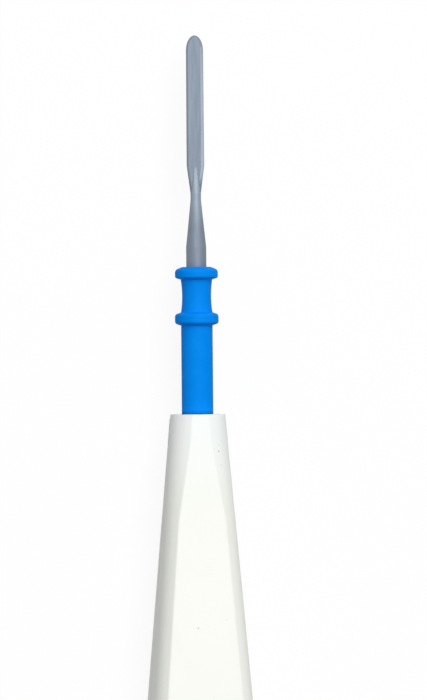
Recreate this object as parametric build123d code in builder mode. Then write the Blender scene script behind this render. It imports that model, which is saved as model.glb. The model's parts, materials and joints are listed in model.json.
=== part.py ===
from build123d import *
from math import hypot
import os

# Electrosurgical pencil lying on its underside. +Y points to the blade tip, +Z is up, and the origin is on the
# table under the middle of the pencil. All sizes are in millimetres. A "run" is a distance behind the nose end.

# Blade electrode, forged and turned from one rod
blade_length = 15.2
blade_width = 2.06
blade_tip_width = 2.0
blade_tip_length = 1.8
blade_thickness = 0.55
blade_bevel = 0.2
shoulder_length = 3.2
shoulder_root = 1.0
waist_diameter = 1.22
waist_length = 0.85
cone_length = 5.5
shank_diameter = 2.36
shank_show = 2.3
shank_plug = 15.0
shank_lead_in = 0.4

# Insulating sleeve moulded on the shank
sleeve_diameter = 3.68
sleeve_show = 17.2
sleeve_plug = 10.0
sleeve_lead_in = 0.3
front_collar_diameter = 4.92
front_collar_length = 1.48
front_collar_front_flank = 0.36
front_collar_back_flank = 0.27
front_face_diameter = 3.4
neck_length = 3.88
neck_diameter = 3.38
rear_collar_diameter = 5.04
rear_collar_length = 1.46
rear_collar_front_flank = 0.3
rear_collar_back_flank = 0.36
collar_crown = 0.1

# Housing, outside
handle_length = 150.0
nose_end_width = 6.42
nose_end_height = 6.4
nose_length = 34.0
nose_blend = 8.0
body_width = 12.34
body_height = 12.8
nose_shoulder_width = 2.25
body_shoulder_width = 1.42
shoulder_fade_start = 3.0
shoulder_fade_end = 12.5
nose_side_height = 0.4
body_side_height = 7.3
nose_rim_bevel = 0.5
grip_length = 50.0
tail_width = 9.2
tail_height = 9.4
tail_side_height = 3.9
tail_bevel = 1.2
seam_width = 0.2
seam_depth = 0.12

# Housing, inside
wall = 1.4
rib_root = 0.25
rib_thickness = 1.6
socket_seat = 4.7
cradle_inset = 4.3
tail_wall = 3.0
cord_inlet_diameter = 4.8
cord_rib_inset = 14.0
post_width = 2.2
peg_diameter = 1.2
peg_length = 2.0
peg_hole_spare = 0.4
board_post_edge = 0.1
tail_post_inset = 5.0
ledge_width = 1.2

# Socket for the electrode
socket_wall = 0.4
socket_spare = 2.3
socket_end_wall = 3.0
socket_slit_width = 0.4
socket_slit_length = 8.0
lead_diameter = 0.8
lead_bridge = 2.0
lead_on_board = 4.0

# Hand switch
board_reach = 5.5
board_front = 14.5
board_back = 17.0
board_thickness = 1.0
board_side_gap = 0.47
track_thickness = 0.1
track_width = 0.9
contact_diameter = 1.8
contact_pin_width = 0.8
dome_diameter = 6.0
dome_crown_diameter = 2.0
dome_rise = 0.6
dome_sheet = 0.1
dome_leg_width = 1.8
landing_margin = 0.45
pad_margin = 3.0
pad_edge = 0.15
pad_sheet = 0.5
pad_cup_wall = 0.4
pad_cup_top = 0.4
terminal_length = 4.0
terminal_width = 1.4
terminal_sheet = 0.3
terminal_ear_height = 1.3
terminal_edge = 0.5
terminal_inset = 4.0

# Buttons
button_spacing = 17.0
button_length = 11.0
button_proud = 1.0
button_top_bevel = 0.5
flange_margin = 0.9
flange_thickness = 0.9
flange_side_gap = 0.67
stem_diameter = 4.0
ridge_count = 3
ridge_spacing = 1.8
ridge_diameter = 0.9
ridge_sink = 0.15
ridge_end_gap = 0.9

# Clearances
bond_clearance = 0.01
shank_clearance = 0.02
solder_clearance = 0.02
sleeve_clearance = 0.06
peg_clearance = 0.05
window_clearance = 0.15
flange_clearance = 0.05
dome_clearance = 0.06
stem_clearance = 0.05
socket_gap = 0.3

# Places along the pencil, as runs behind the nose end
electrode_show = blade_length + shoulder_length + waist_length + cone_length + shank_show + sleeve_show
grip_start = nose_length + nose_blend
tail_start = grip_start + grip_length
tail_end = handle_length - tail_bevel
socket_start = sleeve_plug + socket_gap
socket_bore_length = shank_plug - socket_gap + socket_spare
socket_end = socket_start + socket_bore_length + socket_end_wall
cavity_start = socket_start + socket_seat
cavity_end = handle_length - tail_wall
cradle_run = socket_end - cradle_inset
cord_rib_run = handle_length - cord_rib_inset
board_start = max(socket_end + lead_bridge, grip_start - board_reach)
cut_run = board_start + board_front
coag_run = cut_run + button_spacing
board_end = coag_run + board_back
button_runs = (cut_run, coag_run)
terminal_start = board_end - terminal_inset - terminal_length
terminal_leg_run = terminal_start + terminal_length / 2

# Heights and widths worked out from the sizes
nose_end_y = (handle_length - electrode_show) / 2
axis_z = body_height / 2
board_top = axis_z - lead_diameter / 2
board_under = board_top - board_thickness
track_top = board_top + track_thickness
pad_cup_roof = track_top + dome_rise + dome_clearance
pad_top = pad_cup_roof + pad_cup_top
cavity_width = body_width - 2 * wall
board_width = cavity_width - 2 * board_side_gap
button_width = cavity_width - 2 * flange_side_gap - 2 * flange_margin
socket_diameter = shank_diameter + 2 * shank_clearance + 2 * socket_wall
terminal_spacing = (board_width - terminal_width) / 2 - terminal_edge
landing_width = dome_diameter + 2 * landing_margin
landing_hole = dome_diameter - 2 * landing_margin
pad_cup_width = dome_diameter + 2 * dome_clearance
pad_cup_outside = pad_cup_width + 2 * pad_cup_wall


def nose_rise(run):
    """Share of the growth from the nose end to the grip: straight along the nose, then eased into the grip."""
    if run <= nose_length:
        eased = run
    elif run < grip_start:
        eased = run - (run - nose_length) ** 2 / (2 * nose_blend)
    else:
        eased = nose_length + nose_blend / 2
    return eased / (nose_length + nose_blend / 2)


def tail_fall(run):
    """Share of the even fall from the grip to the tail end."""
    return max(run - tail_start, 0) / (handle_length - tail_start)


def half_width(run):
    """Half of the housing's width at a run."""
    grown = nose_end_width + (body_width - nose_end_width) * nose_rise(run)
    return (grown - (body_width - tail_width) * tail_fall(run)) / 2


def half_height(run):
    """Half of the housing's height at a run."""
    grown = nose_end_height + (body_height - nose_end_height) * nose_rise(run)
    return (grown - (body_height - tail_height) * tail_fall(run)) / 2


def half_side(run):
    """Half of the height of the housing's upright sides at a run."""
    grown = nose_side_height + (body_side_height - nose_side_height) * nose_rise(run)
    return (grown - (body_side_height - tail_side_height) * tail_fall(run)) / 2


def rib_half_width(run):
    """Half of the width of what is moulded inside the housing: a little into the side walls."""
    return half_width(run) - wall + rib_root


def rib_half_height(run):
    """Half of the height of what is moulded inside the housing: a little into the roof and the floor."""
    return half_height(run) - wall + rib_root


def fade(run, at_nose, at_body):
    """Value at a run of what has one value at the nose end and changes evenly to another on the body."""
    share = (run - shoulder_fade_start) / (shoulder_fade_end - shoulder_fade_start)
    return at_nose + (at_body - at_nose) * min(max(share, 0), 1)


def spread(start, end, count):
    """Evenly spaced runs after start, up to and including end."""
    return [start + (end - start) * step / count for step in range(1, count + 1)]


def across(run, height=axis_z):
    """Plane across the pencil at a run: x is +X, y is up from the height, and it faces the tail."""
    return Plane(origin=(0, nose_end_y - run, height), x_dir=(1, 0, 0), z_dir=(0, -1, 0))


def level(height):
    """Level plane at a height, with its origin under the nose end: x is +X and y is forward of the nose end."""
    return Plane(origin=(0, nose_end_y, height), x_dir=(1, 0, 0), z_dir=(0, 0, 1))


def along(run, height=axis_z):
    """Upright plane along the pencil: x is forward of the run, y is up from the height, and it faces +X."""
    return Plane(origin=(0, nose_end_y - run, height), x_dir=(0, 1, 0), z_dir=(1, 0, 0))


upright = along(0)
axis = Axis((0, nose_end_y, axis_z), (0, 1, 0))
parting = Plane.XY.offset(axis_z)


def section_at(run, inset=0):
    """Section of the housing at a run: round shoulders that grow out of the sides and meet the top in a crease."""
    wide = half_width(run) - inset
    high = half_height(run) - inset
    flat_end = wide - fade(run, nose_shoulder_width, body_shoulder_width)
    side_end = half_side(run)
    with BuildSketch(across(run)) as section:
        with BuildLine():
            Line((wide, 0), (wide, side_end))
            TangentArc((wide, side_end), (flat_end, high), tangent=(0, 1))
            Line((flat_end, high), (0, high))
            mirror(about=Plane.XZ)
            mirror(about=Plane.YZ)
        make_face()
    return section.sketch


# Electrode blade: a bevelled flat blade, and a revolved rod that grows out of it as a spear-shaped ridge
shank_front = sleeve_show + shank_show
waist_back = shank_front + cone_length
waist_front = waist_back + waist_length
blade_root = waist_front + shoulder_length
waist_radius = waist_diameter / 2
root_half_width = waist_radius - (blade_width / 2 - waist_radius) * shoulder_root / shoulder_length
ridge_length = shoulder_length * waist_radius / (waist_radius - blade_thickness / 2)
tip_start = electrode_show - blade_tip_length
shank_end = -(sleeve_plug + shank_plug)
with BuildPart() as electrode_blade:
    with BuildSketch(level(axis_z)):
        with BuildLine():
            Polyline(
                (0, waist_front - shoulder_root),
                (root_half_width, waist_front - shoulder_root),
                (blade_width / 2, blade_root),
                (blade_tip_width / 2, tip_start),
            )
            EllipticalCenterArc((0, tip_start), blade_tip_width / 2, blade_tip_length, 0, arc_size=90)
            mirror(about=Plane.YZ)
        make_face()
    extrude(amount=blade_thickness / 2, both=True)
    root_face = electrode_blade.faces().sort_by(Axis.Y)[0]
    rims = electrode_blade.faces().filter_by(Axis.Z).edges()
    chamfer(rims - root_face.edges(), blade_bevel)
    with BuildSketch(upright):
        with BuildLine():
            Polyline(
                (shank_end, 0),
                (shank_end, shank_diameter / 2 - shank_lead_in),
                (shank_end + shank_lead_in, shank_diameter / 2),
                (shank_front, shank_diameter / 2),
                (waist_back, waist_radius),
                (waist_front, waist_radius),
                (waist_front + ridge_length, 0),
                close=True,
            )
        make_face()
    revolve(axis=axis)
electrode_blade.part.label = "electrode_blade"

# Insulating sleeve: a tube with two crowned collars, which have sloping flanks, and a hollowed neck between them
sleeve_radius = sleeve_diameter / 2
sleeve_bore_radius = shank_diameter / 2 + bond_clearance
front_collar_radius = front_collar_diameter / 2
rear_collar_radius = rear_collar_diameter / 2
front_collar_back = sleeve_show - front_collar_length
rear_collar_front = front_collar_back - neck_length
rear_collar_back = rear_collar_front - rear_collar_length
front_edge = front_collar_radius - collar_crown
rear_edge = rear_collar_radius - collar_crown
with BuildPart() as electrode_sleeve:
    with BuildSketch(upright):
        with BuildLine():
            Line((front_collar_back, sleeve_radius), (front_collar_back + front_collar_back_flank, front_edge))
            ThreePointArc(
                (front_collar_back + front_collar_back_flank, front_edge),
                ((front_collar_back + sleeve_show) / 2, front_collar_radius),
                (sleeve_show - front_collar_front_flank, front_edge),
            )
            Polyline(
                (sleeve_show - front_collar_front_flank, front_edge),
                (sleeve_show, front_face_diameter / 2),
                (sleeve_show, sleeve_bore_radius),
                (-sleeve_plug, sleeve_bore_radius),
                (-sleeve_plug, sleeve_radius - sleeve_lead_in),
                (sleeve_lead_in - sleeve_plug, sleeve_radius),
                (rear_collar_back, sleeve_radius),
                (rear_collar_back + rear_collar_back_flank, rear_edge),
            )
            ThreePointArc(
                (rear_collar_back + rear_collar_back_flank, rear_edge),
                ((rear_collar_back + rear_collar_front) / 2, rear_collar_radius),
                (rear_collar_front - rear_collar_front_flank, rear_edge),
            )
            Line((rear_collar_front - rear_collar_front_flank, rear_edge), (rear_collar_front, sleeve_radius))
            ThreePointArc(
                (rear_collar_front, sleeve_radius),
                ((rear_collar_front + front_collar_back) / 2, neck_diameter / 2),
                (front_collar_back, sleeve_radius),
            )
        make_face()
    revolve(axis=axis)
electrode_sleeve.part.label = "electrode_sleeve"

# Outer form of the housing: a straight nose, a curved blend, a plain grip, a straight tail and its bevelled end
nose_runs = [0, shoulder_fade_start, shoulder_fade_end, nose_length]
blend_runs = [nose_length] + spread(nose_length, grip_start, 4)
tail_sections = [section_at(tail_start), section_at(tail_end), section_at(handle_length, tail_bevel)]
with BuildPart() as housing_form:
    loft([section_at(run) for run in nose_runs], ruled=True)
    loft([section_at(run) for run in blend_runs])
    extrude(section_at(grip_start), amount=grip_length, dir=(0, -1, 0))
    loft(tail_sections, ruled=True)

# Hollow inside the housing
cavity_runs = [cavity_start, nose_length] + spread(nose_length, grip_start, 2) + [tail_start, cavity_end]
with BuildPart() as housing_cavity:
    for run in cavity_runs:
        with BuildSketch(across(run)):
            Rectangle(2 * (half_width(run) - wall), 2 * (half_height(run) - wall))
    loft(ruled=True)

# Fine groove along the parting line: all that lies outside the housing's plan outline, less the groove's depth
seam_nose = half_width(0) - seam_depth
seam_nose_back = half_width(nose_length) - seam_depth
seam_body = body_width / 2 - seam_depth
seam_tail = half_width(tail_end) - seam_depth
with BuildPart() as seam_groove:
    with BuildSketch(level(axis_z)):
        with Locations((0, -handle_length / 2)):
            Rectangle(2 * body_width, handle_length)
        with BuildLine():
            Polyline((0, 0), (seam_nose, 0), (seam_nose_back, -nose_length))
            Bezier(
                (seam_nose_back, -nose_length),
                (seam_body, -nose_length - nose_blend / 2),
                (seam_body, -grip_start),
            )
            Polyline(
                (seam_body, -grip_start),
                (seam_body, -tail_start),
                (seam_tail, -tail_end),
                (seam_tail, -handle_length),
                (0, -handle_length),
            )
            mirror(about=Plane.YZ)
        make_face(mode=Mode.SUBTRACT)
    extrude(amount=seam_width / 2, both=True)

# Whole housing before it is parted: hollow, with cross ribs, and bored for the sleeve, the socket and the cord
with BuildPart() as housing:
    add(housing_form.part)
    add(seam_groove.part, mode=Mode.SUBTRACT)
    add(housing_cavity.part, mode=Mode.SUBTRACT)
    for run in (cradle_run, cord_rib_run):
        with BuildSketch(across(run)):
            Rectangle(2 * rib_half_width(run), 2 * rib_half_height(run))
        extrude(amount=rib_thickness)
    with BuildSketch(across(0)):
        Circle(sleeve_diameter / 2 + sleeve_clearance)
    extrude(amount=socket_start, mode=Mode.SUBTRACT)
    with BuildSketch(across(socket_start)):
        Circle(socket_diameter / 2 + solder_clearance)
    extrude(amount=socket_end - socket_start, mode=Mode.SUBTRACT)
    with BuildSketch(across(cord_rib_run)):
        Circle(cord_inlet_diameter / 2)
    extrude(amount=handle_length - cord_rib_run, mode=Mode.SUBTRACT)


# Places of the square posts: four that clamp the board's corners, and two in the tail. The tail's posts and two
# across the board's corners have pegs.
board_post_inset = board_post_edge + post_width / 2
board_post_x = board_width / 2 - board_post_inset
board_post_runs = (board_start + board_post_inset, board_end - board_post_inset)
board_posts = [(x, run) for run in board_post_runs for x in (-board_post_x, board_post_x)]
board_pegs = [board_posts[0], board_posts[-1]]
first_tail_post = tail_start + tail_post_inset
tail_posts = [(0, first_tail_post), (0, (first_tail_post + cord_rib_run) / 2)]

# Upper half: button windows, and posts with pegs that reach through the board
with BuildPart() as upper_housing:
    add(housing.part)
    split(bisect_by=parting, keep=Keep.TOP)
    for posts, pegs, foot in ((board_posts, board_pegs, board_top), (tail_posts, tail_posts, axis_z)):
        for x, run in posts:
            with BuildSketch(level(foot)):
                with Locations((x, -run)):
                    Rectangle(post_width, post_width)
            extrude(amount=axis_z + rib_half_height(run) - foot)
        with BuildSketch(level(foot)):
            with Locations(*[(x, -run) for x, run in pegs]):
                Circle(peg_diameter / 2)
        extrude(amount=-peg_length)
    for run in button_runs:
        with BuildSketch(level(axis_z)):
            with Locations((0, -run)):
                SlotOverall(
                    button_length + 2 * window_clearance,
                    button_width + 2 * window_clearance,
                    rotation=90,
                )
        extrude(amount=body_height, mode=Mode.SUBTRACT)
upper_housing.part.label = "upper_housing"

# What bevels the lower half's nose rim: all round a taper that leaves the housing's outside at the bevel's back
with BuildPart() as nose_rim_cut:
    with BuildSketch(across(0)):
        Rectangle(body_width, body_height)
    extrude(amount=2 * nose_rim_bevel)
    taper_ends = [section_at(0, nose_rim_bevel), section_at(2 * nose_rim_bevel, -nose_rim_bevel)]
    loft(taper_ends, ruled=True, mode=Mode.SUBTRACT)

# Lower half: posts with holes for the pegs, and ledges under the middle of the board
ledge_run = (cut_run + coag_run) / 2
ledge_x = rib_half_width(ledge_run) - ledge_width / 2
with BuildPart() as lower_housing:
    add(housing.part)
    split(bisect_by=parting, keep=Keep.BOTTOM)
    add(nose_rim_cut.part, mode=Mode.SUBTRACT)
    for posts, pegs, top in ((board_posts, board_pegs, board_under), (tail_posts, tail_posts, axis_z)):
        for x, run in posts:
            with BuildSketch(level(top)):
                with Locations((x, -run)):
                    Rectangle(post_width, post_width)
            extrude(amount=-(top - axis_z + rib_half_height(run)))
        with BuildSketch(level(top)):
            with Locations(*[(x, -run) for x, run in pegs]):
                Circle(peg_diameter / 2 + peg_clearance)
        extrude(amount=-(peg_length + peg_hole_spare), mode=Mode.SUBTRACT)
    with BuildSketch(level(board_under)):
        with Locations((-ledge_x, -ledge_run), (ledge_x, -ledge_run)):
            Rectangle(ledge_width, rib_thickness)
    extrude(amount=-(board_under - axis_z + rib_half_height(ledge_run)))
lower_housing.part.label = "lower_housing"

# Brass socket: a tube with crossed slits at its mouth and a solid end for the lead
with BuildPart() as socket_tube:
    with BuildSketch(across(socket_start)):
        Circle(socket_diameter / 2)
    extrude(amount=socket_end - socket_start)
    with BuildSketch(across(socket_start)):
        Circle(shank_diameter / 2 + shank_clearance)
    extrude(amount=socket_bore_length, mode=Mode.SUBTRACT)
    with BuildSketch(across(socket_start)):
        Circle(lead_diameter / 2 + solder_clearance)
    extrude(amount=socket_end - socket_start, mode=Mode.SUBTRACT)
    with BuildSketch(across(socket_start)):
        Rectangle(2 * socket_diameter, socket_slit_width)
        Rectangle(socket_slit_width, 2 * socket_diameter)
    extrude(amount=socket_slit_length, mode=Mode.SUBTRACT)
socket_tube.part.label = "socket_tube"

# Copper pin from the socket to the front of the board
lead_start = socket_end - socket_end_wall
lead_end = board_start + lead_on_board
with BuildPart() as socket_lead:
    with BuildSketch(across(lead_start)):
        Circle(lead_diameter / 2)
    extrude(amount=lead_end - lead_start)
socket_lead.part.label = "socket_lead"

# Circuit board, with square holes for the contacts' pins and the terminals' legs, and round ones for the pegs
terminal_places = (-terminal_spacing, 0, terminal_spacing)
pin_hole_width = contact_pin_width + 2 * solder_clearance
pin_places = [(0, -run) for run in button_runs] + [(x, -terminal_leg_run) for x in terminal_places]
with BuildPart() as switch_board:
    with BuildSketch(level(board_top)):
        with Locations((0, -(board_start + board_end) / 2)):
            Rectangle(board_width, board_end - board_start)
        with Locations(*pin_places):
            Rectangle(pin_hole_width, pin_hole_width, mode=Mode.SUBTRACT)
        with Locations(*[(x, -run) for x, run in board_pegs]):
            Circle(peg_diameter / 2 + peg_clearance, mode=Mode.SUBTRACT)
    extrude(amount=-board_thickness)
switch_board.part.label = "switch_board"

# Common track: a strip from the lead to the middle terminal, with a wide landing for the domes' feet
with BuildPart() as common_track:
    with BuildSketch(level(board_top)):
        with Locations((0, -(lead_end + terminal_start) / 2)):
            Rectangle(track_width, terminal_start - lead_end)
        with Locations((0, -(cut_run + coag_run) / 2)):
            Rectangle(landing_width, button_spacing + landing_width)
        with Locations(*[(0, -run) for run in button_runs]):
            Rectangle(landing_hole, landing_hole, mode=Mode.SUBTRACT)
    extrude(amount=track_thickness)
common_track.part.label = "common_track"


def make_contact(run, side):
    """Contact under a dome: a round head, a pin through the board and a track below it to its terminal's leg."""
    track_end = terminal_leg_run + track_width / 2
    with BuildPart() as contact:
        with BuildSketch(level(board_top)):
            with Locations((0, -run)):
                Circle(contact_diameter / 2)
        extrude(amount=track_thickness)
        with BuildSketch(level(board_top)):
            with Locations((0, -run)):
                Rectangle(contact_pin_width, contact_pin_width)
        extrude(amount=-board_thickness - track_thickness)
        with BuildSketch(level(board_under)):
            with Locations((side * terminal_spacing / 2, -run)):
                Rectangle(terminal_spacing + track_width, track_width)
            with Locations((side * terminal_spacing, -(run + track_end) / 2)):
                Rectangle(track_width, track_end - run)
        extrude(amount=-track_thickness)
    return contact.part


cut_contact = make_contact(cut_run, -1)
cut_contact.label = "cut_contact"
coag_contact = make_contact(coag_run, 1)
coag_contact.label = "coag_contact"


def make_dome(run):
    """Snap dome: two crossed sprung strips with a flat crown, standing with four feet on the landing."""
    foot = dome_diameter / 2
    crown = dome_crown_diameter / 2
    spread_per_rise = (foot - crown) / dome_rise
    inner_rise = dome_rise - dome_sheet
    inner_foot = foot - dome_sheet * hypot(1, spread_per_rise)
    inner_crown = inner_foot - inner_rise * spread_per_rise
    with BuildPart() as dome:
        for plane in (across(run, track_top), along(run, track_top)):
            with BuildSketch(plane):
                with BuildLine():
                    Polyline((0, dome_rise), (crown, dome_rise), (foot, 0), (inner_foot, 0))
                    Polyline((inner_foot, 0), (inner_crown, inner_rise), (0, inner_rise))
                    mirror(about=Plane.YZ)
                make_face()
            extrude(amount=dome_leg_width / 2, both=True)
    return dome.part


cut_dome = make_dome(cut_run)
cut_dome.label = "cut_dome"
coag_dome = make_dome(coag_run)
coag_dome.label = "coag_dome"

# Soft pad over both domes, with a cup over each one
pad_length = button_spacing + pad_cup_outside + 2 * pad_margin
with BuildPart() as button_pad:
    with BuildSketch(level(track_top)):
        with Locations((0, -(cut_run + coag_run) / 2)):
            Rectangle(board_width - 2 * pad_edge, pad_length)
    extrude(amount=pad_sheet)
    with BuildSketch(level(track_top)):
        with Locations(*[(0, -run) for run in button_runs]):
            Rectangle(pad_cup_outside, pad_cup_outside)
    extrude(amount=pad_top - track_top)
    with BuildSketch(level(track_top)):
        with Locations(*[(0, -run) for run in button_runs]):
            Rectangle(pad_cup_width, pad_cup_width)
    extrude(amount=pad_cup_roof - track_top, mode=Mode.SUBTRACT)
button_pad.part.label = "button_pad"


def make_terminal(x):
    """Crimp tag for one of the cord's three wires: a channel on the board, with a leg through it."""
    with BuildPart() as terminal:
        with BuildSketch(across(terminal_start, board_top)):
            with Locations((x, terminal_ear_height / 2)):
                Rectangle(terminal_width, terminal_ear_height)
            with Locations((x, terminal_ear_height / 2 + terminal_sheet)):
                Rectangle(terminal_width - 2 * terminal_sheet, terminal_ear_height, mode=Mode.SUBTRACT)
        extrude(amount=terminal_length)
        with BuildSketch(level(board_top)):
            with Locations((x, -terminal_leg_run)):
                Rectangle(contact_pin_width, contact_pin_width)
        extrude(amount=-board_thickness)
    return terminal.part


cut_terminal, power_terminal, coag_terminal = [make_terminal(x) for x in terminal_places]
cut_terminal.label = "cut_terminal"
power_terminal.label = "power_terminal"
coag_terminal.label = "coag_terminal"


def make_button(run):
    """Button: a ridged cap through the window, a flange under the roof and a stem down to the pad."""
    flange_top = axis_z + half_height(run) - wall - flange_clearance
    cap_top = axis_z + half_height(run) + button_proud
    stem_foot = pad_top + stem_clearance
    ridge_z = cap_top - ridge_diameter / 2 + ridge_sink
    with BuildPart() as button:
        with BuildSketch(level(flange_top)):
            with Locations((0, -run)):
                SlotOverall(button_length, button_width, rotation=90)
        extrude(amount=cap_top - flange_top)
        chamfer(button.faces().sort_by(Axis.Z)[-1].edges(), button_top_bevel)
        with BuildSketch(along(run, ridge_z)):
            with GridLocations(ridge_spacing, 0, ridge_count, 1):
                Circle(ridge_diameter / 2)
        extrude(amount=button_width / 2 - ridge_end_gap, both=True)
        with BuildSketch(level(flange_top)):
            with Locations((0, -run)):
                Rectangle(button_width + 2 * flange_margin, button_length + 2 * flange_margin)
        extrude(amount=-flange_thickness)
        with BuildSketch(level(stem_foot)):
            with Locations((0, -run)):
                Circle(stem_diameter / 2)
        extrude(amount=flange_top - stem_foot)
    return button.part


cut_button = make_button(cut_run)
cut_button.label = "cut_button"
coag_button = make_button(coag_run)
coag_button.label = "coag_button"

os.makedirs("parts", exist_ok=True)
pieces = [
    electrode_blade.part,
    electrode_sleeve.part,
    upper_housing.part,
    lower_housing.part,
    socket_tube.part,
    socket_lead.part,
    switch_board.part,
    common_track.part,
    cut_contact,
    coag_contact,
    cut_dome,
    coag_dome,
    button_pad.part,
    cut_terminal,
    power_terminal,
    coag_terminal,
    cut_button,
    coag_button,
]
for piece in pieces:
    export_step(piece, f"parts/{piece.label}.step")
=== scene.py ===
import json
import math

import bmesh
import bpy
from mathutils import Matrix, Vector


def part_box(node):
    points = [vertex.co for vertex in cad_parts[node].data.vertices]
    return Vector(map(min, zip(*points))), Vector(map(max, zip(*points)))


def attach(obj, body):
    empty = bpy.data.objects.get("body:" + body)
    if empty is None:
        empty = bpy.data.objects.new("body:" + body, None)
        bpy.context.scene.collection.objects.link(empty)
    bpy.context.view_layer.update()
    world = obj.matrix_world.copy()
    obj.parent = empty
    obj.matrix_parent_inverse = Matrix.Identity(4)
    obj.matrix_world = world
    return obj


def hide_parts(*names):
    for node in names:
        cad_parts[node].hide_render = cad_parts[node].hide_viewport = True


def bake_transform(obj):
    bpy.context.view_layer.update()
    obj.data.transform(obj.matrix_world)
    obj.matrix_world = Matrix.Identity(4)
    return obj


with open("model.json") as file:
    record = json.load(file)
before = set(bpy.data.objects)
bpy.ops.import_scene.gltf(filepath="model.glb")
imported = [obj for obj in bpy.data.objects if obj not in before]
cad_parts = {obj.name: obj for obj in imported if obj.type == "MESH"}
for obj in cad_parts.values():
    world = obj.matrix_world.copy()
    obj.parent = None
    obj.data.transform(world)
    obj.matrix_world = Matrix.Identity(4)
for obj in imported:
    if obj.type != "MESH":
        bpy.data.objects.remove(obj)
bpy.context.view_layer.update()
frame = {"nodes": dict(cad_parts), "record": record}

MM = 0.001
MICRON = 1e-6
WHITE = (1.0, 1.0, 1.0, 1.0)

# Places read from the frame, in metres: +Y is the blade's end, and the axis is where the housing parts
nodes = frame["nodes"]
axis_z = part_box("lower_housing")[1].z
nose_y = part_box("upper_housing")[1].y

# Blade sizes that its shape and its marks share, in millimetres
BLADE_THICKNESS = 0.55
TIP_HALF_WIDTH = 1.0


# Shader nodes

def stretched(tree, place, scale):
    """A place, multiplied along each axis."""
    mapping = tree.nodes.new("ShaderNodeMapping")
    mapping.inputs["Scale"].default_value = scale
    tree.links.new(place, mapping.inputs["Vector"])
    return mapping.outputs["Vector"]


def noise(tree, place, scale):
    """Grey noise with about scale lumps a metre."""
    node = tree.nodes.new("ShaderNodeTexNoise")
    node.inputs["Scale"].default_value = scale
    tree.links.new(place, node.inputs["Vector"])
    return node.outputs["Fac"]


def ramp(tree, value, span, colours):
    """Colour that goes from the first to the second one over a span of a value."""
    node = tree.nodes.new("ShaderNodeValToRGB")
    for stop, position, colour in zip(node.color_ramp.elements, span, colours):
        stop.position = position
        stop.color = colour
    tree.links.new(value, node.inputs["Fac"])
    return node.outputs["Color"]


def share(tree, value, start, end, low=0.0, top=1.0):
    """Share that goes from low to top while a value goes from start to end."""
    node = tree.nodes.new("ShaderNodeMapRange")
    node.inputs["From Min"].default_value = start
    node.inputs["From Max"].default_value = end
    node.inputs["To Min"].default_value = low
    node.inputs["To Max"].default_value = top
    tree.links.new(value, node.inputs["Value"])
    return node.outputs["Result"]


def both(tree, operation, first, second):
    """One value worked out from two by an operation."""
    node = tree.nodes.new("ShaderNodeMath")
    node.operation = operation
    tree.links.new(first, node.inputs[0])
    tree.links.new(second, node.inputs[1])
    return node.outputs["Value"]


def coordinate(tree, place, name):
    """One coordinate of a place."""
    node = tree.nodes.new("ShaderNodeSeparateXYZ")
    tree.links.new(place, node.inputs["Vector"])
    return node.outputs[name]


def distance(tree, place, point):
    """Distance of a place from a point."""
    node = tree.nodes.new("ShaderNodeVectorMath")
    node.operation = "DISTANCE"
    node.inputs[1].default_value = point
    tree.links.new(place, node.inputs[0])
    return node.outputs["Value"]


def over(tree, colour, other, amount):
    """A colour that gives way to another one by an amount."""
    node = tree.nodes.new("ShaderNodeMixRGB")
    node.inputs["Color2"].default_value = other
    tree.links.new(amount, node.inputs["Fac"])
    tree.links.new(colour, node.inputs["Color1"])
    return node.outputs["Color"]


def seen_ray(tree):
    """1 for a ray that shows the background: from the camera, a reflection or glass."""
    path = tree.nodes.new("ShaderNodeLightPath")
    total = path.outputs["Is Camera Ray"]
    for kind in ("Is Glossy Ray", "Is Transmission Ray"):
        total = both(tree, "MAXIMUM", total, path.outputs[kind])
    return total


# Materials

COLOUR_NOISE = (0.35, 0.65)
GLOSS_NOISE = (0.3, 0.7)
GRAIN_STRENGTH = 0.5
SOFT_EDGE = 0.05 * MM
SOFT_EDGE_SAMPLES = 8


def from_srgb(red, green, blue):
    """Linear colour of a colour as an image shows it, 0 to 255 each."""
    shares = (value / 255 for value in (red, green, blue))
    linear = [s / 12.92 if s <= 0.04045 else ((s + 0.055) / 1.055) ** 2.4 for s in shares]
    return (*linear, 1.0)


def tints(red, green, blue, drift):
    """Two colours, each drift away from the given one."""
    return (
        from_srgb(red - drift, green - drift, blue - drift),
        from_srgb(red + drift, green + drift, blue + drift),
    )


def bump(tree, height, depth, soft_edge):
    """Normals of a relief depth metres deep, on a surface whose sharp edges look rounded by a radius."""
    node = tree.nodes.new("ShaderNodeBump")
    node.inputs["Strength"].default_value = GRAIN_STRENGTH
    node.inputs["Distance"].default_value = depth
    tree.links.new(height, node.inputs["Height"])
    soft = tree.nodes.new("ShaderNodeBevel")
    soft.samples = SOFT_EDGE_SAMPLES
    soft.inputs["Radius"].default_value = soft_edge
    tree.links.new(soft.outputs["Normal"], node.inputs["Normal"])
    return node.outputs["Normal"]


def plain_material(
    name, colours, roughness, lumps, grain, depth,
    metallic=0.0, specular=0.5, stretch=(1, 1, 1), marks=None, soft_edge=SOFT_EDGE,
):
    """A surface whose colour drifts in lumps and may have marks and painted light added, with a fine grain
    in relief and gloss.
    """
    material = bpy.data.materials.new(name)
    material.use_nodes = True
    tree = material.node_tree
    shader = tree.nodes["Principled BSDF"]
    place = tree.nodes.new("ShaderNodeTexCoord").outputs["Object"]
    along = stretched(tree, place, stretch)
    colour = ramp(tree, noise(tree, along, lumps), COLOUR_NOISE, colours)
    if marks is not None:
        colour = marks(tree, place, colour)
    tree.links.new(colour, shader.inputs["Base Color"])
    fine = noise(tree, along, grain)
    tree.links.new(share(tree, fine, *GLOSS_NOISE, *roughness), shader.inputs["Roughness"])
    tree.links.new(bump(tree, fine, depth, soft_edge), shader.inputs["Normal"])
    shader.inputs["Metallic"].default_value = metallic
    shader.inputs["Specular IOR Level"].default_value = specular
    return material


# Painted highlights on the steel: millimetres before the nose end, and heights as shares of half the
# thickness

# Painted highlight: a bright line along the blade's bevels, dimmer on the left side and towards the tip
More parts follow.
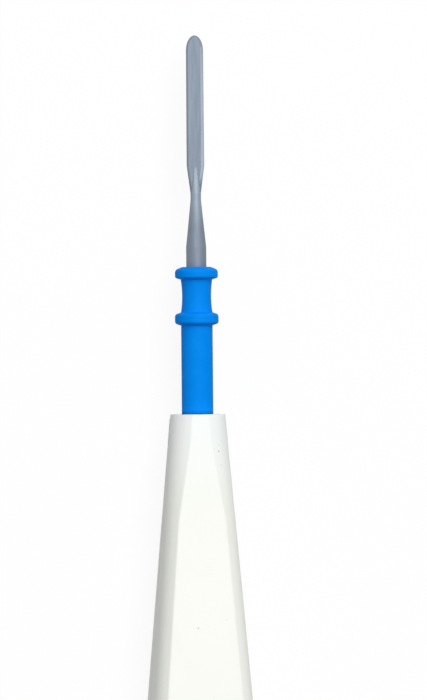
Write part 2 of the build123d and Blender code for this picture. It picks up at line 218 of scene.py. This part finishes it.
BEVEL_HIGHLIGHT_COLOUR = from_srgb(158, 168, 178)
BEVEL_HIGHLIGHT_START = (26.8, 27.6)
BEVEL_HIGHLIGHT_END = (38.0, 43.5)
BEVEL_HIGHLIGHT_TIP_SHARE = 0.45
BEVEL_HIGHLIGHT_LEFT_SHARE = 0.1
BEVEL_FADE = (0.99, 0.92)
# Painted highlight on the blade's neck and spear ridge
RIDGE_HIGHLIGHT_COLOUR = from_srgb(147, 157, 168)
RIDGE_HIGHLIGHT_START = (21.8, 24.8)
RIDGE_HIGHLIGHT_FADE = (1.03, 1.15)


def along_nose(tree, place, marks, low=0.0, top=1.0):
    """Share that goes from low to top between two marks, in millimetres before the nose end."""
    first, last = (nose_y + mark * MM for mark in marks)
    return share(tree, coordinate(tree, place, "Y"), first, last, low, top)


def painted_steel_highlights(tree, place, colour):
    """Painted highlights: a bright line along both bevels, the right one brightest, and a bright neck and
    ridge.
    """
    height = distance(tree, stretched(tree, place, (0, 0, 1)), (0, 0, axis_z))
    half = BLADE_THICKNESS / 2 * MM
    reach = TIP_HALF_WIDTH * MM
    # Mask of the painted bevel highlight, dimmer on the left side and towards the tip
    edge = share(tree, height, BEVEL_FADE[0] * half, BEVEL_FADE[1] * half)
    for part in (
        along_nose(tree, place, BEVEL_HIGHLIGHT_START),
        along_nose(tree, place, BEVEL_HIGHLIGHT_END, 1.0, BEVEL_HIGHLIGHT_TIP_SHARE),
        share(tree, coordinate(tree, place, "X"), -reach, reach, BEVEL_HIGHLIGHT_LEFT_SHARE),
    ):
        edge = both(tree, "MULTIPLY", edge, part)
    colour = over(tree, colour, BEVEL_HIGHLIGHT_COLOUR, edge)
    # Painted highlight on the neck and ridge
    ridge = share(tree, height, RIDGE_HIGHLIGHT_FADE[0] * half, RIDGE_HIGHLIGHT_FADE[1] * half)
    ridge = both(tree, "MULTIPLY", ridge, along_nose(tree, place, RIDGE_HIGHLIGHT_START))
    return over(tree, colour, RIDGE_HIGHLIGHT_COLOUR, ridge)


# Painted shade on the sleeve, in millimetres

# Painted shade: a darker ring where the sleeve meets the nose end
SEAT_SHADE_COLOUR = from_srgb(2, 98, 178)
SEAT_SHADE_LENGTH = 0.5


def painted_seat_shade(tree, place, colour):
    """A narrow ring of painted shade where the sleeve enters the nose."""
    front = along_nose(tree, place, (SEAT_SHADE_LENGTH, 0))
    back = along_nose(tree, place, (-SEAT_SHADE_LENGTH, 0))
    return over(tree, colour, SEAT_SHADE_COLOUR, both(tree, "MULTIPLY", front, back))


# Marks on the white plastic, in millimetres, with the fade of a speck as shares of its radius

TIP_TINT = from_srgb(237, 241, 240)
TIP_TINT_LENGTH = 11.0
SPECK_COLOUR = from_srgb(150, 154, 150)
SPECK_RADIUS = 0.09
SPECK_FADE = (1.2, 0.4)

# Specks: (millimetres right of the axis, millimetres behind the nose end, darkness)
SPECKS = (
    (2.07, 4.29, 0.9),
    (-0.72, 24.73, 0.9),
    (2.07, 3.59, 0.25),
    (1.57, 4.05, 0.25),
    (2.35, 5.87, 0.3),
    (2.63, 23.8, 0.3),
)


def white_marks(tree, place, colour):
    """A cooler tint towards the nose end, and a few small specks."""
    colour = over(tree, colour, TIP_TINT, along_nose(tree, place, (-TIP_TINT_LENGTH, 0)))
    plan = stretched(tree, place, (1, 1, 0))
    outside, inside = (fade * SPECK_RADIUS * MM for fade in SPECK_FADE)
    for right, run, darkness in SPECKS:
        far = distance(tree, plan, (right * MM, nose_y - run * MM, 0))
        colour = over(tree, colour, SPECK_COLOUR, share(tree, far, outside, inside, 0.0, darkness))
    return colour


# Finish of each slot: the range of its roughness, its lumps and grain a metre, and the depth of its grain
finishes = {
    "blade_steel": dict(
        colours=tints(130, 140, 152, 3), roughness=(0.68, 0.74), lumps=400, grain=4000, depth=0.3 * MICRON,
        metallic=1.0, stretch=(1, 0.08, 1), marks=painted_steel_highlights,
    ),
    "sleeve_plastic": dict(
        colours=tints(2, 134, 234, 2), roughness=(0.5, 0.6), lumps=300, grain=5000, depth=3 * MICRON,
        specular=0.03, marks=painted_seat_shade,
    ),
    "housing_plastic": dict(
        colours=tints(239, 241, 234, 1), roughness=(0.4, 0.5), lumps=120, grain=4000, depth=4 * MICRON,
        specular=0.3, marks=white_marks, soft_edge=0.3 * MM,
    ),
    "cut_button_plastic": dict(
        colours=tints(243, 198, 28, 4), roughness=(0.36, 0.48), lumps=250, grain=4000, depth=6 * MICRON,
        specular=0.15, soft_edge=0.2 * MM,
    ),
    "coag_button_plastic": dict(
        colours=tints(20, 90, 198, 4), roughness=(0.36, 0.48), lumps=250, grain=4000, depth=6 * MICRON,
        specular=0.15, soft_edge=0.2 * MM,
    ),
    "pad_rubber": dict(
        colours=tints(200, 202, 204, 5), roughness=(0.55, 0.7), lumps=300, grain=3000, depth=8 * MICRON,
    ),
    "dome_steel": dict(
        colours=tints(200, 200, 198, 6), roughness=(0.15, 0.28), lumps=500, grain=5000, depth=2 * MICRON,
        metallic=1.0,
    ),
    "board_laminate": dict(
        colours=tints(30, 96, 54, 6), roughness=(0.4, 0.55), lumps=900, grain=3000, depth=8 * MICRON,
    ),
    "copper": dict(
        colours=tints(216, 142, 104, 8), roughness=(0.25, 0.4), lumps=500, grain=4000, depth=3 * MICRON,
        metallic=1.0,
    ),
    "socket_brass": dict(
        colours=tints(205, 168, 84, 7), roughness=(0.22, 0.36), lumps=400, grain=4000, depth=3 * MICRON,
        metallic=1.0,
    ),
}
materials = {slot: plain_material(slot, **finish) for slot, finish in finishes.items()}


def dress(obj, slot):
    """Gives a piece its material and its slot."""
    obj.data.materials.clear()
    obj.data.materials.append(materials[slot])


for part in frame["record"]["subparts"]:
    dress(nodes[part["node"]], part["material_slot"])

# Pieces made finer here than in the frame: outlines in millimetres before the nose end and from the axis

CORNER_STEPS = 8
TURN_STEPS = 96
SMOOTH_ANGLE = math.radians(32)


def rounded(corners):
    """Points along an outline of (x, y, radius) corners, each rounded by an arc of its radius."""
    points = []
    for index, (x, y, radius) in enumerate(corners):
        corner = Vector((x, y))
        if radius == 0:
            points.append(corner)
            continue
        back = (Vector(corners[index - 1][:2]) - corner).normalized()
        ahead = (Vector(corners[(index + 1) % len(corners)][:2]) - corner).normalized()
        half = back.angle(ahead) / 2
        middle = corner + (back + ahead).normalized() * radius / math.sin(half)
        start = corner + back * radius / math.tan(half) - middle
        end = corner + ahead * radius / math.tan(half) - middle
        turn = start.angle_signed(end)
        for step in range(CORNER_STEPS + 1):
            points.append(middle + Matrix.Rotation(-turn * step / CORNER_STEPS, 2) @ start)
    return points


def finished(name, shape):
    """Mesh of a shape, which is then freed."""
    mesh = bpy.data.meshes.new(name)
    shape.to_mesh(mesh)
    shape.free()
    return mesh


def new_piece(name, mesh, slot, node):
    """A smooth piece of the object that stands for a node of the frame."""
    mesh.shade_smooth()
    mesh.set_sharp_from_angle(angle=SMOOTH_ANGLE)
    piece = bpy.data.objects.new(name, mesh)
    bpy.context.scene.collection.objects.link(piece)
    even = piece.modifiers.new("even", "WEIGHTED_NORMAL")
    even.keep_sharp = True
    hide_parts(node)
    dress(piece, slot)
    return piece


def lathe(name, outline):
    """Mesh of an outline of (millimetres before the nose end, radius) points, turned round the axis."""
    shape = bmesh.new()
    rings = []
    for ahead, radius in outline:
        place = Vector((0, nose_y + ahead * MM, axis_z))
        if radius == 0:
            rings.append([shape.verts.new(place)] * TURN_STEPS)
            continue
        angles = [2 * math.pi * step / TURN_STEPS for step in range(TURN_STEPS)]
        spokes = [Vector((math.cos(angle), 0, math.sin(angle))) for angle in angles]
        rings.append([shape.verts.new(place + spoke * radius * MM) for spoke in spokes])
    closed = outline[0][1] > 0
    for first, second in zip(rings, rings[1:] + rings[:1] if closed else rings[1:]):
        for step in range(TURN_STEPS):
            after = (step + 1) % TURN_STEPS
            corners = [first[step], first[after], second[after], second[step]]
            shape.faces.new(dict.fromkeys(corners))
    bmesh.ops.recalc_face_normals(shape, faces=shape.faces)
    return finished(name, shape)


# Sleeve: two soft collars with a hollowed neck between them

SLEEVE_RADIUS = 1.84
SLEEVE_BORE = 1.19
SLEEVE_FRONT = 17.2
SLEEVE_BACK = -10.0
SLEEVE_LEAD_IN = 0.3
FACE_RADIUS = 1.7
FACE_ROUND = 0.15
ROOT_ROUND = 0.12
FRONT_COLLAR = (16.86, 15.93)
FRONT_COLLAR_RADII = (2.52, 2.5)
FRONT_COLLAR_ROUNDS = (0.5, 0.27)
FRONT_COLLAR_SLOPE = 0.2
BACK_COLLAR = (11.66, 10.6)
BACK_COLLAR_RADIUS = 2.55
BACK_COLLAR_ROUNDS = (0.4, 0.36)
BACK_COLLAR_SLOPE = 0.24
NECK_MIDDLE = 13.78
NECK_RADIUS = 1.55
NECK_ROUND = 12.4

sleeve_outline = rounded([
    (SLEEVE_FRONT, SLEEVE_BORE, 0),
    (SLEEVE_FRONT, FACE_RADIUS, FACE_ROUND),
    (FRONT_COLLAR[0], FRONT_COLLAR_RADII[0], FRONT_COLLAR_ROUNDS[0]),
    (FRONT_COLLAR[1], FRONT_COLLAR_RADII[1], FRONT_COLLAR_ROUNDS[1]),
    (FRONT_COLLAR[1] - FRONT_COLLAR_SLOPE, SLEEVE_RADIUS, ROOT_ROUND),
    (NECK_MIDDLE, NECK_RADIUS, NECK_ROUND),
    (BACK_COLLAR[0] + BACK_COLLAR_SLOPE, SLEEVE_RADIUS, ROOT_ROUND),
    (BACK_COLLAR[0], BACK_COLLAR_RADIUS, BACK_COLLAR_ROUNDS[0]),
    (BACK_COLLAR[1], BACK_COLLAR_RADIUS, BACK_COLLAR_ROUNDS[1]),
    (BACK_COLLAR[1] - BACK_COLLAR_SLOPE, SLEEVE_RADIUS, ROOT_ROUND),
    (SLEEVE_BACK + SLEEVE_LEAD_IN, SLEEVE_RADIUS, 0),
    (SLEEVE_BACK, SLEEVE_RADIUS - SLEEVE_LEAD_IN, 0),
    (SLEEVE_BACK, SLEEVE_BORE, 0),
])
sleeve = new_piece("sleeve", lathe("sleeve", sleeve_outline), "sleeve_plastic", "electrode_sleeve")
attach(sleeve, "electrode")

# Blade: a bevelled plate that grows out of a turned rod, which runs into it as a spear-shaped ridge

ROD_BACK = -25.0
ROD_BEVEL = 0.4
SHANK_RADIUS = 1.18
CONE_BACK = 19.5
CONE_ROUND = 3.0
WAIST_BACK = 25.0
WAIST_FRONT = 25.85
WAIST_RADIUS = 0.61
SPEAR_ROUND = 2.0
SPEAR_TIP = 31.677
PLATE_BACK = 24.85
PLATE_BACK_HALF_WIDTH = 0.479
SHOULDER = 29.05
SHOULDER_HALF_WIDTH = 1.03
SHOULDER_ROUND = 4.0
TIP_BACK = 42.45
TIP_LENGTH = 1.8
TIP_STEPS = 32
BLADE_BEVEL = 0.2
RIGHT_BEVEL_WIDTH = 0.38
EDGE_SOFTNESS = 0.03 * MM
EDGE_SEGMENTS = 2
EDGE_ANGLE = math.radians(30)

rod_outline = rounded([
    (ROD_BACK, 0, 0),
    (ROD_BACK, SHANK_RADIUS - ROD_BEVEL, 0),
    (ROD_BACK + ROD_BEVEL, SHANK_RADIUS, 0),
    (CONE_BACK, SHANK_RADIUS, CONE_ROUND),
    (WAIST_BACK, WAIST_RADIUS, CONE_ROUND),
    (WAIST_FRONT, WAIST_RADIUS, SPEAR_ROUND),
    (SPEAR_TIP, 0, 0),
])
side_outline = rounded([
    (PLATE_BACK, PLATE_BACK_HALF_WIDTH, 0),
    (SHOULDER, SHOULDER_HALF_WIDTH, SHOULDER_ROUND),
    (TIP_BACK, TIP_HALF_WIDTH, 0),
])
for step in range(1, TIP_STEPS + 1):
    angle = math.pi / 2 * step / TIP_STEPS
    side_outline.append(Vector((TIP_BACK + TIP_LENGTH * math.sin(angle), TIP_HALF_WIDTH * math.cos(angle))))


def blade_side(inset, tip_inset):
    """Points along one side of the blade, moved in by inset, which changes to tip_inset round the tip."""
    points = []
    for index, point in enumerate(side_outline):
        before = side_outline[max(index - 1, 0)]
        after = side_outline[index + 1] if index + 1 < len(side_outline) else Vector((point.x, -before.y))
        run = (after - before).normalized()
        round_tip = max(index - len(side_outline) + TIP_STEPS + 1, 0) / TIP_STEPS
        points.append(point + Vector((run.y, -run.x)) * (inset + (tip_inset - inset) * round_tip))
    points[-1].y = 0
    return points


def blade_ring(shape, right_inset, left_inset, height):
    """The blade's outline, moved in on each side, at a height over its middle."""
    right = blade_side(right_inset, left_inset)
    left = [Vector((point.x, -point.y)) for point in blade_side(left_inset, left_inset)]
    whole = right + left[-2::-1]
    return [shape.verts.new((p.y * MM, nose_y + p.x * MM, axis_z + height * MM)) for p in whole]


def blade_plate():
    """Mesh of the flat blade with a bevel along both edges of both faces."""
    shape = bmesh.new()
    flat = BLADE_THICKNESS / 2
    land = flat - BLADE_BEVEL
    wide = (RIGHT_BEVEL_WIDTH, BLADE_BEVEL)
    levels = ((*wide, flat), (0, 0, land), (0, 0, -land), (*wide, -flat))
    rings = [blade_ring(shape, *level) for level in levels]
    for first, second in zip(rings, rings[1:]):
        for step in range(len(first)):
            after = (step + 1) % len(first)
            shape.faces.new((first[step], first[after], second[after], second[step]))
    shape.faces.new(rings[0])
    shape.faces.new(rings[-1])
    bmesh.ops.recalc_face_normals(shape, faces=shape.faces)
    return finished("plate", shape)


def joined(name, plate_mesh, rod_mesh):
    """One closed mesh of the plate, with its edges softened, and the rod."""
    plate = bpy.data.objects.new("plate", plate_mesh)
    rod = bpy.data.objects.new("rod", rod_mesh)
    for part in (plate, rod):
        bpy.context.scene.collection.objects.link(part)
    soft = plate.modifiers.new("soft", "BEVEL")
    soft.width = EDGE_SOFTNESS
    soft.segments = EDGE_SEGMENTS
    soft.angle_limit = EDGE_ANGLE
    union = plate.modifiers.new("union", "BOOLEAN")
    union.operation = "UNION"
    union.solver = "EXACT"
    union.object = rod
    whole = bpy.data.meshes.new_from_object(plate.evaluated_get(bpy.context.evaluated_depsgraph_get()))
    whole.name = name
    for part in (plate, rod):
        bpy.data.objects.remove(part)
    return whole


blade_mesh = joined("blade", blade_plate(), lathe("rod", rod_outline))
blade = new_piece("blade", blade_mesh, "blade_steel", "electrode_blade")
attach(blade, "electrode")

# Pad and domes under the buttons: welded copies of their nodes, the pad cut in two between the buttons

WELD = 1e-7


def copied(name, node, cut_y=None, side=1):
    """Welded copy of a node's mesh, or of its part on one side of a cut: 1 in front, -1 behind."""
    shape = bmesh.new()
    shape.from_mesh(nodes[node].data)
    bmesh.ops.remove_doubles(shape, verts=shape.verts, dist=WELD)
    if cut_y is not None:
        every = [*shape.verts, *shape.edges, *shape.faces]
        bmesh.ops.bisect_plane(
            shape, geom=every, plane_co=(0, cut_y, 0), plane_no=(0, -side, 0), clear_outer=True
        )
        bmesh.ops.holes_fill(shape, edges=[edge for edge in shape.edges if edge.is_boundary])
    return finished(name, shape)


def pressed(piece):
    """A piece with its place baked into its mesh."""
    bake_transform(piece)


between = (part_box("cut_button")[0].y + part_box("coag_button")[1].y) / 2
switches = (("cut_key", "cut_dome", "front_pad", 1), ("coag_key", "coag_dome", "back_pad", -1))
for key, dome, pad, side in switches:
    snap = new_piece(dome + "_spring", copied(dome + "_spring", dome), "dome_steel", dome)
    pressed(snap)
    half_pad = new_piece(pad, copied(pad, "button_pad", between, side), "pad_rubber", "button_pad")
    pressed(half_pad)

# Floor: white paper that keeps a soft shadow where it is seen, and sends back less light to the object

FLOOR_SIZE = 4.0
PAPER_COLOUR = (0.9, 0.9, 0.9, 1.0)
BOUNCE_COLOUR = (0.5, 0.5, 0.5, 1.0)
FLOOR_GLOW = 0.91


def diffuse(tree, colour):
    """A matte shader of a colour."""
    node = tree.nodes.new("ShaderNodeBsdfDiffuse")
    node.inputs["Color"].default_value = colour
    return node.outputs["BSDF"]


def mixed(tree, first, second):
    """A mix of two shaders, and the input that sets the share of the second one."""
    node = tree.nodes.new("ShaderNodeMixShader")
    tree.links.new(first, node.inputs[1])
    tree.links.new(second, node.inputs[2])
    return node.outputs["Shader"], node.inputs["Fac"]


def paper_material():
    """Paper that glows nearly white where it is seen, and is plain grey for the light it sends back."""
    paper = bpy.data.materials.new("paper")
    paper.use_nodes = True
    tree = paper.node_tree
    tree.nodes.clear()
    glow = tree.nodes.new("ShaderNodeEmission")
    glow.inputs["Color"].default_value = WHITE
    seen, glow_share = mixed(tree, diffuse(tree, PAPER_COLOUR), glow.outputs["Emission"])
    glow_share.default_value = FLOOR_GLOW
    surface, seen_share = mixed(tree, diffuse(tree, BOUNCE_COLOUR), seen)
    tree.links.new(seen_ray(tree), seen_share)
    output = tree.nodes.new("ShaderNodeOutputMaterial")
    tree.links.new(surface, output.inputs["Surface"])
    return paper


bpy.ops.mesh.primitive_plane_add(size=FLOOR_SIZE, location=(0, 0, 0))
floor = bpy.context.object
floor.name = "floor"
floor.data.materials.append(paper_material())

# World: bright where it is seen, dimmer as light on the object, and greyer towards the ceiling

WORLD_LIGHT = 0.34
CEILING = (0.8, 0.8, 0.8, 1.0)

world = bpy.data.worlds.new("studio")
bpy.context.scene.world = world
world.use_nodes = True
sky = world.node_tree
background = sky.nodes["Background"]
height = coordinate(sky, sky.nodes.new("ShaderNodeTexCoord").outputs["Generated"], "Z")
sky.links.new(ramp(sky, height, (0.0, 1.0), (WHITE, CEILING)), background.inputs["Color"])
sky.links.new(share(sky, seen_ray(sky), 0.0, 1.0, WORLD_LIGHT), background.inputs["Strength"])

# Camera: the photograph's frame and angle, where the sensor spans the longer side of the image

IMAGE_HEIGHT = 700
PIXELS_PER_MM = 8.56
VIEW_AHEAD = 7.5 * MM
AXIS_OFFSET = 1.92 * MM
VIEW_LEAN = math.radians(6.4)
VIEW_ROLL = math.radians(0.5)
CAMERA_DISTANCE = 0.6
SENSOR = 36.0
NEAREST = 0.01
FARTHEST = 10.0

forward = Vector((math.sin(VIEW_LEAN), 0, -math.cos(VIEW_LEAN)))
sideways = Vector((math.cos(VIEW_LEAN), 0, math.sin(VIEW_LEAN)))
up = Vector((0, 1, 0))
image_up = up * math.cos(VIEW_ROLL) + sideways * math.sin(VIEW_ROLL)
image_right = sideways * math.cos(VIEW_ROLL) - up * math.sin(VIEW_ROLL)
target = Vector((0, nose_y + VIEW_AHEAD, axis_z)) + image_right * AXIS_OFFSET

camera_data = bpy.data.cameras.new("camera")
camera = bpy.data.objects.new("camera", camera_data)
bpy.context.scene.collection.objects.link(camera)
camera_data.sensor_width = SENSOR
camera_data.lens = SENSOR * CAMERA_DISTANCE / (IMAGE_HEIGHT / PIXELS_PER_MM * MM)
camera_data.clip_start = NEAREST
camera_data.clip_end = FARTHEST
turn = Matrix((image_right, image_up, -forward)).transposed().to_4x4()
camera.matrix_world = Matrix.Translation(target - forward * CAMERA_DISTANCE) @ turn
bpy.context.scene.camera = camera

# Lamp: one long softbox over the pencil, a little to the blade's end and to the right

LAMP_DISTANCE = 1.0
LAMP_HALF_WIDTH = math.radians(15)
LAMP_HALF_LENGTH = math.radians(30)
LAMP_TIPWARD = math.radians(26)
LAMP_RIGHT = math.radians(7)
LAMP_POWER = 9.9

lamp_data = bpy.data.lights.new("softbox", "AREA")
lamp_data.shape = "ELLIPSE"
lamp_data.size = 2 * LAMP_DISTANCE * math.tan(LAMP_HALF_WIDTH)
lamp_data.size_y = 2 * LAMP_DISTANCE * math.tan(LAMP_HALF_LENGTH)
lamp_data.energy = LAMP_POWER
lamp = bpy.data.objects.new("softbox", lamp_data)
bpy.context.scene.collection.objects.link(lamp)
towards_lamp = Vector((math.tan(LAMP_RIGHT), math.tan(LAMP_TIPWARD), 1)).normalized()
lamp.location = target + towards_lamp * LAMP_DISTANCE
lamp.rotation_mode = "QUATERNION"
lamp.rotation_quaternion = towards_lamp.to_track_quat("Z", "Y")

bpy.context.scene.view_settings.view_transform = "Standard"
